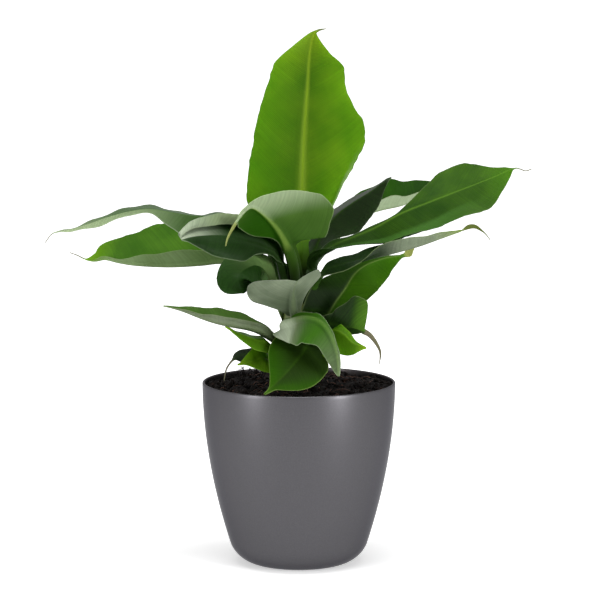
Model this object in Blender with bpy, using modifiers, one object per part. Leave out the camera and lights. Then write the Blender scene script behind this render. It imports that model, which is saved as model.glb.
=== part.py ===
# Potted banana plant: a tapered round pot, its potting soil, the pseudostem and twenty leaves.
# World frame: +Z up, +X to the right, -Y to the front, origin at the centre of the pot's base.
# Lengths in the tables are millimetres; TO_METRES turns them into Blender's metres.

import math

import bmesh
import bpy
import numpy as np

TO_METRES = 0.001
CLEARANCE = 0.3
SOIL_CLEARANCE = 0.5

POT_HEIGHT = 189.3
RIM_RADIUS = 100.0
BASE_RADIUS = 44.0
WALL_TAPER = 35.7
WALL_TAPER_POWER = 1.9
BASE_FILLET = 21.0
POT_WALL = 2.5
POT_FLOOR = 3.0
POT_SIDES = 48

SOIL_EDGE_HEIGHT = 184.0
SOIL_HEAP = 4.0
SOIL_BEVEL = 2.7
# Radii at which the heap is modelled, and heights down the side of the soil.
HEAP_RADII = (35.0, 52.0, 68.0, 82.0)
SOIL_SIDE_HEIGHTS = (SOIL_EDGE_HEIGHT, 155.0, 125.0, 95.0, 65.0, 40.0, 21.0, 12.0)
SOIL_FLOOR_RADIUS = 38.0

STEM_FOOT = 150.0
STEM_TOP = 293.0
STEM_FOOT_RADIUS = 19.0
STEM_SIDES = 28
# Stem outline above the foot: radius, height.
STEM_OUTLINE = [(19.0, 196.0), (18.2, 225.0), (17.2, 255.0), (16.2, 275.0), (13.6, 286.0), (8.0, 291.4)]

BLADE_THICKNESS = 1.2
STALK_HALF_WIDTH = 4.2
STALK_DEPTH = 6.0
TIP_RIB_DEPTH = 1.6
STALK_RISE = 15.0
TENDRIL_HALF_WIDTH = 0.6
RIB_HALF_WIDTH = 5.0
RING_SPACING = 14.0
FEWEST_RINGS = 10
SEAT_RADIUS = 13.5
HEM_START = 0.6
PLAIN_MARKS = (0.5,)
FOLDED_MARKS = (0.25, 0.42, 0.58, 0.73, 0.87)
OPENING = 0.12
FLAT_WIDTH = 7.0

# One entry per leaf, read from the stalk's seat on the stem to the leaf's tip:
#   seat   azimuth in degrees, height and radius of the stalk's foot on the stem
#   spine  points that the midrib passes after the seat
#   blade  where the blade starts and ends, as fractions of the spine's length
#   face   direction that the upper side looks in, once or at equal steps along the spine
#   left, right  half widths of the blade at equal steps from its start to its end
#   rise   degrees that the left and right halves stand up from the midrib (a number or equal steps)
#   curl   further degrees that each half bends up towards its margin
#   hem    further degrees that the outer strip of each half folds over, and hem_start says where it begins
#   sweep  how far each half falls back along the midrib at the blade's base, as a share of its distance out
#   stalk  half width of the stalk at its foot
LEAVES = {
    "leaf_top": dict(
        seat=(60, 286, 4), blade=(0.17, 0.955), face=(0, -1, 0.1), rise=(12, 12), curl=(-8, -8), stalk=6,
        spine=[(3, 7, 313), (3, 9, 341), (3, 13, 372), (4, 18, 413), (6, 22, 454), (9, 24, 495),
               (11, 24, 526), (15, 22, 546), (20, 19, 551), (28, 15, 553)],
        left=[10, 46, 56, 58, 57, 54, 52, 49, 45, 40, 32, 12, 1],
        right=[8, 20, 31, 39, 47, 56, 63, 61, 49, 40, 37, 19, 1]),
    "leaf_front_arch": dict(
        seat=(-99, 281), blade=(0.29, 0.86), face=[(0.2, 0.7, 0.6), (-0.3, 0.5, 0.8), (-0.3, 0.5, 0.8)],
        rise=(10, -10), sweep=(0.6, 0), stalk=5.5,
        spine=[(-5, -24, 311), (-10, -36, 331), (-20, -52, 352), (-33, -70, 369), (-47, -88, 380),
               (-56, -102, 375), (-62, -108, 367), (-67, -110, 359), (-71, -111, 351), (-73, -111, 343)],
        left=[8, 36, 46, 53, 55, 49, 38, 24, 14, 9, 1],
        right=[8, 7, 10, 18, 25, 28, 28, 24, 14, 6, 1]),
    "leaf_left_long": dict(
        seat=(173, 281), blade=(0.12, 0.95), face=(0, -0.1, 1),
        rise=([-65, -65, -60, -50, -30, -25, -30], [-12, -10, -5, 0, 0]),
        spine=[(-30, -8, 331), (-48, -14, 349), (-70, -20, 360), (-93, -26, 364), (-113, -31, 366),
               (-133, -35, 370), (-151, -38, 373), (-171, -41, 371), (-194, -43, 365), (-214, -44, 358),
               (-230, -44, 353), (-242, -44, 351), (-251, -44, 348), (-258, -44, 339)],
        left=[5, 25, 39, 40, 34, 21, 7, 6, 9, 6, 1],
        right=[5, 18, 28, 33, 33, 30, 27, 22, 16, 9, 1]),
    "leaf_left_boat": dict(
        seat=(-140, 281), blade=(0.2, 1.0), face=(0, -0.3, 1), rise=(-30, [45, 38, 30, 24, 22]),
        curl=(-50, 0), hem=(0, [222, 229, 237, 243, 245]), hem_start=0.38,
        spine=[(-20, -26, 322), (-34, -40, 336), (-54, -54, 344), (-76, -68, 349), (-96, -80, 350),
               (-109, -88, 349), (-117, -92, 347)],
        left=[5, 8, 11, 17, 27, 28, 23, 13, 1],
        right=[5, 20, 36, 42, 44, 44, 39, 31, 14]),
    "leaf_left_keeled": dict(
        seat=(134, 277), blade=(0.2, 0.93), face=(0, -0.2, 1), rise=(70, 35),
        spine=[(-28, 16, 308), (-44, 20, 312), (-63, 24, 313), (-84, 28, 313), (-103, 31, 310),
               (-134, 35, 307), (-166, 38, 307), (-187, 40, 309), (-202, 41, 312), (-213, 42, 310),
               (-223, 42, 312), (-231, 42, 316), (-239, 42, 319)],
        left=[6, 11, 13, 16, 18, 18, 14, 10, 6, 5, 1],
        right=[5, 30, 40, 51, 55, 56, 53, 46, 36, 20, 1]),
    "leaf_left_round": dict(
        seat=(-170, 258), blade=(0.3, 1.0), face=(-0.1, -0.7, 0.7), rise=(0, 0),
        spine=[(-31, -27, 303), (-42, -40, 315), (-53, -50, 313), (-60, -52, 307), (-61, -51, 299),
               (-59, -50, 291)],
        left=[5, 10, 16, 25, 31, 31, 8],
        right=[5, 8, 11, 15, 26, 21, 1]),
    "leaf_front_grey": dict(
        seat=(-97, 250), blade=(0.15, 1.0), face=(0, 0.4, 1), rise=([25, 30, 40], [0, 0, 2]),
        spine=[(-5, -32, 266), (-6, -46, 279), (-6, -59, 290), (-4, -68, 297), (-2, -74, 301)],
        left=[6, 7, 9, 12, 17, 26, 35, 33, 8],
        right=[6, 8, 12, 20, 30, 39, 45, 40, 6]),
    "leaf_right_dark": dict(
        seat=(44, 281), blade=(0.22, 1.0), face=(0, -0.1, 1), rise=(-15, -60), curl=(0, -10),
        spine=[(12, 22, 311), (18, 30, 328), (27, 38, 345), (40, 46, 359), (56, 54, 370), (75, 63, 381),
               (91, 70, 392), (97, 72, 395)],
        left=[5, 20, 30, 34, 34, 30, 24, 14, 1],
        right=[5, 8, 16, 25, 29, 26, 19, 9, 1]),
    "leaf_right_back": dict(
        seat=(95, 273), blade=(0.2, 1.0), face=(0, -0.2, 1), rise=(30, 70),
        spine=[(14, 38, 307), (31, 58, 326), (52, 80, 343), (70, 96, 354), (86, 110, 358),
               (108, 122, 361), (124, 130, 366), (135, 136, 372), (147, 141, 379), (156, 144, 383)],
        left=[5, 9, 13, 18, 25, 32, 36, 20, 1],
        right=[5, 7, 9, 11, 14, 13, 11, 5, 1]),
    "leaf_right_large": dict(
        seat=(6, 281), blade=(0.15, 0.935), face=(0, -0.15, 1), rise=(20, -45), stalk=5,
        spine=[(14, -3, 314), (22, -8, 325), (36, -13, 334), (54, -18, 342), (77, -22, 352),
               (103, -27, 367), (134, -32, 380), (164, -36, 392), (194, -39, 404), (217, -40, 414),
               (224, -40, 414), (230, -40, 412), (236, -40, 414)],
        left=[5, 7, 5, 5, 4, 5, 13, 30, 46, 45, 35, 16, 1],
        right=[7, 8, 10, 15, 22, 28, 31, 31, 31, 31, 31, 18, 1]),
    "leaf_right_narrow": dict(
        seat=(-56, 274), blade=(0.1, 0.9), face=(0, -0.1, 1),
        rise=([20, 20, 30, 40], [-35, -35, -20, 30, 65, 70, 70]),
        spine=[(21, -30, 306), (38, -38, 315), (59, -45, 322), (77, -50, 327), (97, -56, 332),
               (122, -62, 339), (147, -67, 348), (167, -70, 355), (176, -71, 357), (182, -71, 355),
               (188, -71, 351), (193, -71, 345)],
        left=[5, 14, 15, 14, 15, 18, 14, 9, 6, 4, 1],
        right=[5, 10, 12, 13, 15, 17, 14, 10, 6, 4, 1]),
    "leaf_right_lower": dict(
        seat=(-20, 246), blade=(0.13, 0.94), face=(-0.3, -0.9, 0.3), rise=(5, 5),
        spine=[(22, -18, 255), (30, -20, 263), (38, -18, 275), (47, -14, 287), (57, -9, 302),
               (69, -4, 311), (86, 1, 317), (100, 5, 319), (109, 7, 320), (114, 7, 323), (119, 6, 327)],
        left=[7, 21, 29, 30, 26, 12, 6, 5, 4, 2, 1],
        right=[5, 8, 15, 23, 30, 32, 30, 27, 21, 11, 1]),
    "leaf_right_hanging": dict(
        seat=(-4, 222), blade=(0.26, 0.7), face=(0, -1, 0.2), rise=(0, -20),
        spine=[(24, -32, 252), (35, -41, 255), (46, -48, 254), (58, -52, 252), (70, -54, 247),
               (76, -54, 241), (81, -54, 233), (83, -54, 226), (82, -54, 215)],
        left=[5, 6, 8, 12, 20, 28, 33, 30, 1],
        right=[5, 5, 6, 6, 8, 8, 8, 6, 1]),
    "leaf_left_narrow": dict(
        seat=(-160, 222), blade=(0.16, 1.0), face=(0, -0.2, 1), rise=(70, 40),
        spine=[(-19, -24, 232), (-26, -30, 240), (-38, -38, 248), (-50, -46, 253), (-68, -56, 257),
               (-86, -66, 262), (-102, -74, 268), (-116, -80, 274), (-128, -84, 278), (-136, -86, 280)],
        left=[5, 6, 7, 7, 8, 7, 5, 3, 1],
        right=[5, 9, 13, 17, 18, 15, 10, 5, 1]),
    "leaf_left_bright": dict(
        seat=(-126, 206), blade=(0.25, 1.0), face=(0, -0.3, 1), rise=(-45, 0),
        spine=[(-28, -38, 234), (-43, -46, 240), (-56, -55, 246), (-66, -62, 251), (-74, -66, 256)],
        left=[5, 9, 13, 12, 10, 5, 1],
        right=[5, 7, 12, 12, 9, 5, 1]),
    "leaf_left_short": dict(
        seat=(-165, 196), blade=(0.25, 1.0), face=(0, -0.3, 1), rise=(-30, 40),
        spine=[(-32, -36, 219), (-44, -46, 219), (-53, -53, 217), (-62, -58, 216)],
        left=[5, 12, 19, 22, 15, 5, 1],
        right=[8, 20, 21, 16, 11, 6, 1]),
    "leaf_left_small": dict(
        seat=(172, 212), blade=(0.25, 0.72), face=(0, -0.3, 1), rise=(-50, 20),
        spine=[(-30, -2, 220), (-42, -8, 221), (-53, -14, 221), (-64, -18, 218), (-69, -20, 214),
               (-74, -21, 207), (-76, -22, 200), (-77, -22, 193)],
        left=[5, 7, 9, 9, 9, 7, 1],
        right=[5, 6, 7, 7, 7, 6, 1]),
    "leaf_front_low": dict(
        seat=(-50, 228), blade=(0.2, 1.0), face=(0, -0.7, 0.7), rise=(0, 0),
        spine=[(10, -42, 235), (3, -57, 227), (-7, -70, 216), (-17, -79, 206), (-26, -85, 198),
               (-31, -87, 193), (-35, -88, 190)],
        left=[6, 9, 20, 30, 34, 34, 32, 26, 15, 4, 1],
        right=[30, 35, 34, 34, 33, 30, 25, 18, 10, 3, 1]),
    "leaf_front_curl": dict(
        seat=(-122, 234), blade=(0.12, 1.0), face=(0, 0.3, -1), rise=(40, [-15, -15, 0, 40, 40]),
        spine=[(-15, -38, 252), (-4, -50, 259), (9, -62, 263), (21, -72, 261), (30, -79, 252),
               (36, -86, 239), (39, -90, 225), (40, -92, 209)],
        left=[6, 14, 22, 28, 30, 29, 24, 18, 14, 10, 1],
        right=[5, 8, 10, 12, 12, 9, 7, 5, 4, 3, 1]),
    "leaf_right_small": dict(
        seat=(-24, 208), blade=(0.42, 1.0), face=(0.1, -0.5, 0.8), rise=(10, -55),
        spine=[(25, -36, 242), (35, -58, 252), (45, -68, 249), (54, -73, 241), (62, -76, 238),
               (68, -78, 236)],
        left=[5, 9, 10, 8, 6, 4, 1],
        right=[5, 22, 30, 30, 22, 12, 1]),
}
YOUNG_LEAVES = {"leaf_top", "leaf_left_bright", "leaf_left_short", "leaf_right_small"}


def clear_scene():
    for obj in list(bpy.data.objects):
        bpy.data.objects.remove(obj, do_unlink=True)


def collection(name):
    made = bpy.data.collections.new(name)
    bpy.context.scene.collection.children.link(made)
    return made


def material(name, colour, roughness, metallic=0.0):
    made = bpy.data.materials.new(name)
    made.use_nodes = True
    shader = made.node_tree.nodes["Principled BSDF"]
    shader.inputs["Base Color"].default_value = (*colour, 1.0)
    shader.inputs["Roughness"].default_value = roughness
    shader.inputs["Metallic"].default_value = metallic
    return made


def add_object(name, mesh, holder, surface):
    obj = bpy.data.objects.new(name, mesh)
    mesh.materials.append(surface)
    mesh.shade_smooth()
    mesh.set_sharp_from_angle(angle=math.radians(45))
    holder.objects.link(obj)
    return obj


def turned(name, profile, sides, holder, surface):
    """A profile of (radius, height) in millimetres, from the axis to the axis, turned about Z."""
    mesh = bpy.data.meshes.new(name)
    points = [(radius * TO_METRES, 0.0, height * TO_METRES) for radius, height in profile]
    mesh.from_pydata(points, [(i, i + 1) for i in range(len(points) - 1)], [])
    obj = add_object(name, mesh, holder, surface)
    screw = obj.modifiers.new("turn", "SCREW")
    screw.steps = sides
    screw.render_steps = sides
    screw.use_merge_vertices = True
    screw.merge_threshold = 1e-5
    return obj


def wall_radius(height, inset=0.0):
    """Outer radius of the pot: it leans out fast near the base, then ever less up to the rim."""
    share = height / POT_HEIGHT
    radius = RIM_RADIUS - WALL_TAPER * (1 - share) ** WALL_TAPER_POWER
    if height < BASE_FILLET:
        foot = RIM_RADIUS - WALL_TAPER - BASE_RADIUS
        radius -= foot * (1 - math.sqrt(1 - (1 - height / BASE_FILLET) ** 2))
    return radius - inset


def pot_profile():
    """From the axis on the floor, up the inside, over the round lip and down the outside."""
    lip = POT_WALL / 2
    lip_centre = POT_HEIGHT - lip
    inside = [POT_FLOOR, 6.0, 12.0, 21.0, 40.0, 65.0, 95.0, 125.0, 155.0, 175.0]
    outside = [165.0, 140.0, 110.0, 80.0, 55.0, 36.0, 21.0, 14.0, 8.0, 3.5, 0.9]
    profile = [(0.0, POT_FLOOR)]
    profile += [(wall_radius(height, POT_WALL), height) for height in inside]
    for step in range(6):
        angle = math.pi - step * math.pi / 5
        centre = wall_radius(lip_centre, lip)
        profile.append((centre + lip * math.cos(angle), lip_centre + lip * math.sin(angle)))
    profile += [(wall_radius(height), height) for height in outside]
    return profile + [(BASE_RADIUS, 0.0), (0.0, 0.0)]


def soil_surface(radius):
    """Height of the soil: heaped round the stem and lowest at the pot's wall."""
    wall = wall_radius(SOIL_EDGE_HEIGHT, POT_WALL)
    return SOIL_EDGE_HEIGHT + SOIL_HEAP * (1 - (radius / wall) ** 2)


def soil_profile():
    """From the socket round the stem's foot, out over the heap, down the wall and in along the floor."""
    socket = STEM_FOOT_RADIUS + CLEARANCE
    inset = POT_WALL + SOIL_CLEARANCE
    floor = POT_FLOOR + CLEARANCE
    foot = floor + SOIL_BEVEL
    profile = [(0.0, STEM_FOOT - CLEARANCE), (socket, STEM_FOOT - CLEARANCE), (socket, soil_surface(socket))]
    profile += [(radius, soil_surface(radius)) for radius in HEAP_RADII]
    profile += [(wall_radius(height, inset), height) for height in SOIL_SIDE_HEIGHTS]
    return profile + [(wall_radius(foot, inset), foot), (SOIL_FLOOR_RADIUS, floor), (0.0, floor)]


def stem_profile(grow=0.0):
    """From the rounded top, down the sheaths, to the flat foot in the soil."""
    side = [(radius + grow, height + grow) for radius, height in reversed(STEM_OUTLINE)]
    foot = [(STEM_FOOT_RADIUS + grow, STEM_FOOT), (0.0, STEM_FOOT)]
    return [(0.0, STEM_TOP + grow)] + side + foot


def smooth_path(points, count):
    """Catmull-Rom curve through the points, read at equal steps of its length."""
    known = np.asarray(points, float)
    ends = np.vstack([2 * known[0] - known[1], known, 2 * known[-1] - known[-2]])
    t = np.linspace(0, 1, 24, endpoint=False)[:, None]
    pieces = []
    for a, b, c, d in zip(ends, ends[1:], ends[2:], ends[3:]):
        bend = 2 * a - 5 * b + 4 * c - d
        twist = 3 * b - 3 * c + d - a
        pieces.append(0.5 * (2 * b + (c - a) * t + bend * t**2 + twist * t**3))
    fine = np.vstack(pieces + [known[-1:]])
    length = np.r_[0, np.cumsum(np.linalg.norm(np.diff(fine, axis=0), axis=1))]
    count = count or max(FEWEST_RINGS, round(length[-1] / RING_SPACING))
    steps = np.linspace(0, length[-1], count)
    return np.stack([np.interp(steps, length, fine[:, axis]) for axis in range(3)], -1)


def spread(values, at):
    """Values at equal steps from 0 to 1, joined by a cubic that never overshoots them."""
    if np.isscalar(values):
        return np.full_like(at, float(values))
    known = np.asarray(values, float)
    step = 1 / (len(known) - 1)
    slope = np.diff(known) / step
    before, after = slope[:-1], slope[1:]
    same_way = before * after > 0
    total = np.where(same_way, before + after, 1.0)
    tangent = np.r_[slope[0], np.where(same_way, 2 * before * after / total, 0.0), slope[-1]]
    index = np.clip((at / step).astype(int), 0, len(known) - 2)
    t = at / step - index
    rise = known[index + 1] - known[index]
    start, end = tangent[index] * step, tangent[index + 1] * step
    square = 3 * rise - 2 * start - end
    cube = start + end - 2 * rise
    return known[index] + start * t + square * t**2 + cube * t**3


def unit(vectors):
    return vectors / np.linalg.norm(vectors, axis=-1, keepdims=True)


def leaf_half(leaf, side, place, width, across):
    """Offsets (along the surface's side direction, along its upward direction) and slope of one half.

    The half leaves the midrib at its rise angle, bends on by its curl and folds over by its hem.
    The stalk is a shallow channel, which opens into the blade, and the narrow tip is flat."""
    number = 0 if side < 0 else 1
    blade = np.clip(place, 0, 1)
    opened = np.clip(place / OPENING, 0, 1)
    rise = STALK_RISE + (spread(leaf["rise"][number], blade) - STALK_RISE) * opened
    rise = (rise * np.clip(width / FLAT_WIDTH, 0, 1))[:, None]
    curl = spread(leaf.get("curl", (0, 0))[number], blade)[:, None]
    hem = spread(leaf.get("hem", (0, 0))[number], blade)[:, None]
    v = np.linspace(0, 1, 41)
    hem_start = leaf.get("hem_start", HEM_START)
    fold = np.clip((v - hem_start) / (1 - hem_start), 0, 1)
    slope = np.radians(rise + curl * v**1.5 + hem * fold**2 * (3 - 2 * fold))
    middle = (slope[:, 1:] + slope[:, :-1]) / 2
    start = np.zeros((len(blade), 1))
    out = np.hstack([start, np.cumsum(np.cos(middle), axis=1) / 40]) * width[:, None]
    up = np.hstack([start, np.cumsum(np.sin(middle), axis=1) / 40]) * width[:, None]
    return [np.stack([np.interp(row, v, line) for row, line in zip(across, lines)])
            for lines in (out, up, slope)]


def leaf_rings(leaf):
    """Closed rings from the stalk's foot to the tip: the upper side left to right, then back below."""
    azimuth, height = leaf["seat"][:2]
    radius = leaf["seat"][2] if len(leaf["seat"]) > 2 else SEAT_RADIUS
    angle = math.radians(azimuth)
    seat = (radius * math.cos(angle), radius * math.sin(angle), height)
    centre = smooth_path([seat] + leaf["spine"], 0)
    count = len(centre)
    along = np.linspace(0, 1, count)
    first, last = leaf["blade"]
    place = (along - first) / (last - first)
    blade = np.clip(place, 0, 1)

    forward = unit(np.gradient(centre, axis=0))
    face = np.atleast_2d(np.asarray(leaf["face"], float))
    if len(face) > 1:
        marks = np.linspace(0, 1, len(face))
        face = np.stack([np.interp(along, marks, face[:, axis]) for axis in range(3)], -1)
    sideways = unit(np.cross(forward, face))
    upward = np.cross(sideways, forward)

    rib_depth = np.where(place < 0, STALK_DEPTH, TIP_RIB_DEPTH + 0.75 * STALK_DEPTH * (1 - blade))
    rib_depth = np.where(place >= 1, BLADE_THICKNESS, rib_depth)[:, None]
    marks = FOLDED_MARKS if "hem" in leaf else PLAIN_MARKS
    stalk = leaf.get("stalk", STALK_HALF_WIDTH)
    halves = []
    for side, key in ((-1, "left"), (1, "right")):
        width = spread(leaf[key], blade)
        width = np.where(place < 0, stalk + (width - stalk) * np.clip(1 - place / place[0], 0, 1), width)
        width = np.where(place > 1, TENDRIL_HALF_WIDTH, width)
        rib_edge = np.clip(RIB_HALF_WIDTH / width, 0, 0.5)
        columns = [0 * rib_edge, rib_edge] + [rib_edge + (1 - rib_edge) * mark for mark in marks]
        across = np.stack(columns + [0 * rib_edge + 1], 1)
        out, up, slope = (values[..., None] for values in leaf_half(leaf, side, place, width, across))
        surface = centre[:, None] + side * out * sideways[:, None] + up * upward[:, None]
        sweep = leaf.get("sweep", (0, 0))[0 if side < 0 else 1]
        back = sweep * (1 - blade) ** 2 * np.clip(place / OPENING, 0, 1)
        surface = surface - back[:, None, None] * out * forward[:, None]
        normal = np.cos(slope) * upward[:, None] - side * np.sin(slope) * sideways[:, None]
        rib = np.clip(1 - (across * width[:, None] / np.minimum(RIB_HALF_WIDTH, width)[:, None]) ** 2, 0, 1)
        depth = BLADE_THICKNESS + np.maximum(rib_depth - BLADE_THICKNESS, 0) * rib
        halves.append((surface, normal, depth[..., None]))
    joined = [np.concatenate([left[:, ::-1], right[:, 1:]], 1) for left, right in zip(*halves)]
    upper, normal, depth = joined
    normal[:, len(marks) + 2] = halves[0][1][:, 0] + halves[1][1][:, 0]
    under = upper - unit(normal) * depth
    return np.concatenate([upper, under[:, ::-1]], 1)


def loft(name, rings):
    """A closed body through the rings, its two ends filled by strips from the upper to the under side."""
    count, around = rings.shape[:2]
    index = np.arange(count * around).reshape(count, around)
    near, far = index[:-1], index[1:]
    side_faces = np.stack([near, np.roll(near, -1, 1), np.roll(far, -1, 1), far], -1).reshape(-1, 4)
    half = around // 2
    strip = np.arange(half - 1)
    end = np.stack([strip, around - 1 - strip, around - 2 - strip, strip + 1], -1)
    faces = np.concatenate([side_faces, end, (end + index[-1, 0])[:, ::-1]])
    mesh = bpy.data.meshes.new(name)
    mesh.from_pydata((rings.reshape(-1, 3) * TO_METRES).tolist(), [], faces.tolist())
    shape = bmesh.new()
    shape.from_mesh(mesh)
    bmesh.ops.recalc_face_normals(shape, faces=shape.faces)
    bmesh.ops.triangulate(shape, faces=shape.faces)
    shape.to_mesh(mesh)
    shape.free()
    return mesh


def add_leaf(name, leaf, holder, surface, stem_clearance):
    """A leaf seated on the stem: what would lie inside the stem is cut off, with the clearance."""
    obj = add_object(name, loft(name, leaf_rings(leaf)), holder, surface)
    cut = obj.modifiers.new("seat", "BOOLEAN")
    cut.operation = "DIFFERENCE"
    cut.solver = "EXACT"
    cut.object = stem_clearance
    return obj


def main():
    clear_scene()
    plant = collection("potted_banana_plant")
    cutters = collection("cutters")
    pot_grey = material("pot_anthracite", (0.105, 0.103, 0.115), 0.42)
    soil_brown = material("potting_soil", (0.022, 0.014, 0.010), 0.95)
    stem_green = material("stem_pale_green", (0.24, 0.33, 0.13), 0.5)
    leaf_green = material("leaf_green", (0.035, 0.10, 0.014), 0.38)
    young_green = material("leaf_young_green", (0.11, 0.28, 0.012), 0.42)

    turned("pot", pot_profile(), POT_SIDES, plant, pot_grey)
    turned("soil", soil_profile(), POT_SIDES, plant, soil_brown)
    turned("pseudostem", stem_profile(), STEM_SIDES, plant, stem_green)
    clearance = turned("stem_clearance", stem_profile(CLEARANCE), STEM_SIDES, cutters, stem_green)
    clearance.hide_render = True
    clearance.display_type = "WIRE"
    for name, leaf in LEAVES.items():
        add_leaf(name, leaf, plant, young_green if name in YOUNG_LEAVES else leaf_green, clearance)


main()
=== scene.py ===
import math

import bmesh
import bpy
import numpy as np
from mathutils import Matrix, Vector


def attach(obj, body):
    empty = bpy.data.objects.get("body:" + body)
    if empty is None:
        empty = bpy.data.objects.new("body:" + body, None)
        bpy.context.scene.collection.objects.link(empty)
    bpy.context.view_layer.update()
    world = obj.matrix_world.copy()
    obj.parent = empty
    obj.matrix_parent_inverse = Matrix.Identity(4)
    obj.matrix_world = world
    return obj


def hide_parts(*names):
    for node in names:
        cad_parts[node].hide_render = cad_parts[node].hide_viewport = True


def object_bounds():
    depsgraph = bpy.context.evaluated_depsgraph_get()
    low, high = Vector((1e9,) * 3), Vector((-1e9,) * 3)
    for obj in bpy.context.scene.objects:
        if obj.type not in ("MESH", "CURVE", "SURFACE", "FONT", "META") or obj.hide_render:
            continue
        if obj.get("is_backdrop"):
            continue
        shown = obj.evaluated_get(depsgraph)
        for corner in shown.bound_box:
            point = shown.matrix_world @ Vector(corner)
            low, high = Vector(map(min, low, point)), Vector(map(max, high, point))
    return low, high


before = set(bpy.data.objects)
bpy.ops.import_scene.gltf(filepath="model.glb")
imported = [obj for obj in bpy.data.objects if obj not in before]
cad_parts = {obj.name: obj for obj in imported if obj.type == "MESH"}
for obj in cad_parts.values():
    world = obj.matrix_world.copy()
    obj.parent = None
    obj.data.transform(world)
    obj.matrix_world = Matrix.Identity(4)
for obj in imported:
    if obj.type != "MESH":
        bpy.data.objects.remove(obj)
boundsAtLoad = [list(corner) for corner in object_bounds()]
print("frame loaded,", len(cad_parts), "solids")

mm = 0.001  # every table below is in millimetres and degrees, unless it says otherwise

# camera, a little above the plant and far away
view = {"distance": 3200, "height": 699, "side": 1.2, "tilt": 7.56, "lens": 187.6, "sensor": 36,
        "reach": 100000}
cameraData = bpy.data.cameras.new("camera")
cameraData.lens = view["lens"]
cameraData.sensor_width = view["sensor"]
cameraData.clip_end = view["reach"] * mm
camera = bpy.data.objects.new("camera", cameraData)
camera.location = (view["side"] * mm, -view["distance"] * mm, view["height"] * mm)
camera.rotation_euler = (math.radians(90 - view["tilt"]), 0, 0)
bpy.context.scene.collection.objects.link(camera)
bpy.context.scene.camera = camera


def linear(hexColour):
    # sRGB hex to linear: c / 12.92 in the darks, ((c + 0.055) / 1.055) ^ 2.4 above
    channels = [int(hexColour[i:i + 2], 16) / 255 for i in (1, 3, 5)]
    return [c / 12.92 if c <= 0.04045 else ((c + 0.055) / 1.055) ** 2.4 for c in channels] + [1]


def addNode(tree, kind, inputs=None, **settings):
    # one node: its settings by name, its sockets by name or number, each a value, another socket, or
    # another node, which gives its first live output
    node = tree.nodes.new("ShaderNode" + kind)
    for key, value in settings.items():
        setattr(node, key, value)
    for key, value in (inputs or {}).items():
        if isinstance(value, bpy.types.Node):
            value = next(output for output in value.outputs if output.enabled)
        if isinstance(value, bpy.types.NodeSocket):
            tree.links.new(value, node.inputs[key])
        else:
            node.inputs[key].default_value = value
    return node


def newMaterial(name, *stored):
    # an empty material, the place of each point, and the numbers that its mesh stores under these names
    material = bpy.data.materials.new(name)
    material.use_nodes = True
    tree = material.node_tree
    tree.nodes.clear()
    place = addNode(tree, "TexCoord").outputs["Object"]
    value = {key: addNode(tree, "Attribute", attribute_name=key).outputs["Fac"] for key in stored}
    return material, tree, place, value


def ease(x):
    # 3x^2 - 2x^3 between 0 and 1
    x = np.clip(x, 0, 1)
    return x * x * (3 - 2 * x)


def unit(vectors):
    return vectors / np.maximum(np.linalg.norm(vectors, axis=-1, keepdims=True), 1e-12)


def lumps(x, y, seed=0):
    # smooth noise from -1 to 1: random values on a unit lattice, eased between its corners
    ix, iy = np.floor(x), np.floor(y)
    fx, fy = ease(x - ix), ease(y - iy)
    corner = lambda a, b: np.modf(np.abs(np.sin(a * 127.1 + b * 311.7 + seed * 74.7) * 43758.5453))[0]
    low = corner(ix, iy) * (1 - fx) + corner(ix + 1, iy) * fx
    high = corner(ix, iy + 1) * (1 - fx) + corner(ix + 1, iy + 1) * fx
    return 2 * (low * (1 - fy) + high * fy) - 1


def meshFrom(name, points, faces):
    mesh = bpy.data.meshes.new(name)
    mesh.from_pydata((points.reshape(-1, 3) * mm).tolist(), [], faces)
    return mesh


def bodyFromRings(name, rings, capped=True):
    # closed skin over rings of points, shape (rings, around, 3); each ring joins the next one
    count, around = rings.shape[:2]
    index = np.arange(count * around).reshape(count, around)
    near, far = index[:-1], index[1:]
    faces = np.stack([near, np.roll(near, -1, 1), np.roll(far, -1, 1), far], -1).reshape(-1, 4)
    if capped:  # strips across the first and last ring
        strip = np.arange(around // 2 - 1)
        end = np.stack([strip, around - 1 - strip, around - 2 - strip, strip + 1], -1)
        faces = np.concatenate([faces, end, (end + index[-1, 0])[:, ::-1]])
    return meshFrom(name, rings, faces.tolist())


def storeValues(mesh, **values):
    # one number for each point, which the material reads by name
    for key, numbers in values.items():
        layer = mesh.attributes.new(key, "FLOAT", "POINT")
        layer.data.foreach_set("value", np.ascontiguousarray(numbers, np.float32).ravel())


def tidyMesh(mesh, merge=0.0):
    # seams closed, faces outwards, smooth shading
    shape = bmesh.new()
    shape.from_mesh(mesh)
    if merge:
        bmesh.ops.remove_doubles(shape, verts=shape.verts, dist=merge)
    bmesh.ops.recalc_face_normals(shape, faces=shape.faces)
    shape.to_mesh(mesh)
    shape.free()
    mesh.polygons.foreach_set("use_smooth", np.ones(len(mesh.polygons), bool))


def addPiece(mesh, material, node):
    # a piece of the one rigid body; with no node it stands beside the solids and replaces none
    piece = bpy.data.objects.new(mesh.name, mesh)
    mesh.materials.append(material)
    bpy.context.scene.collection.objects.link(piece)
    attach(piece, "root")
    if node:
        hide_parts(node)


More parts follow.
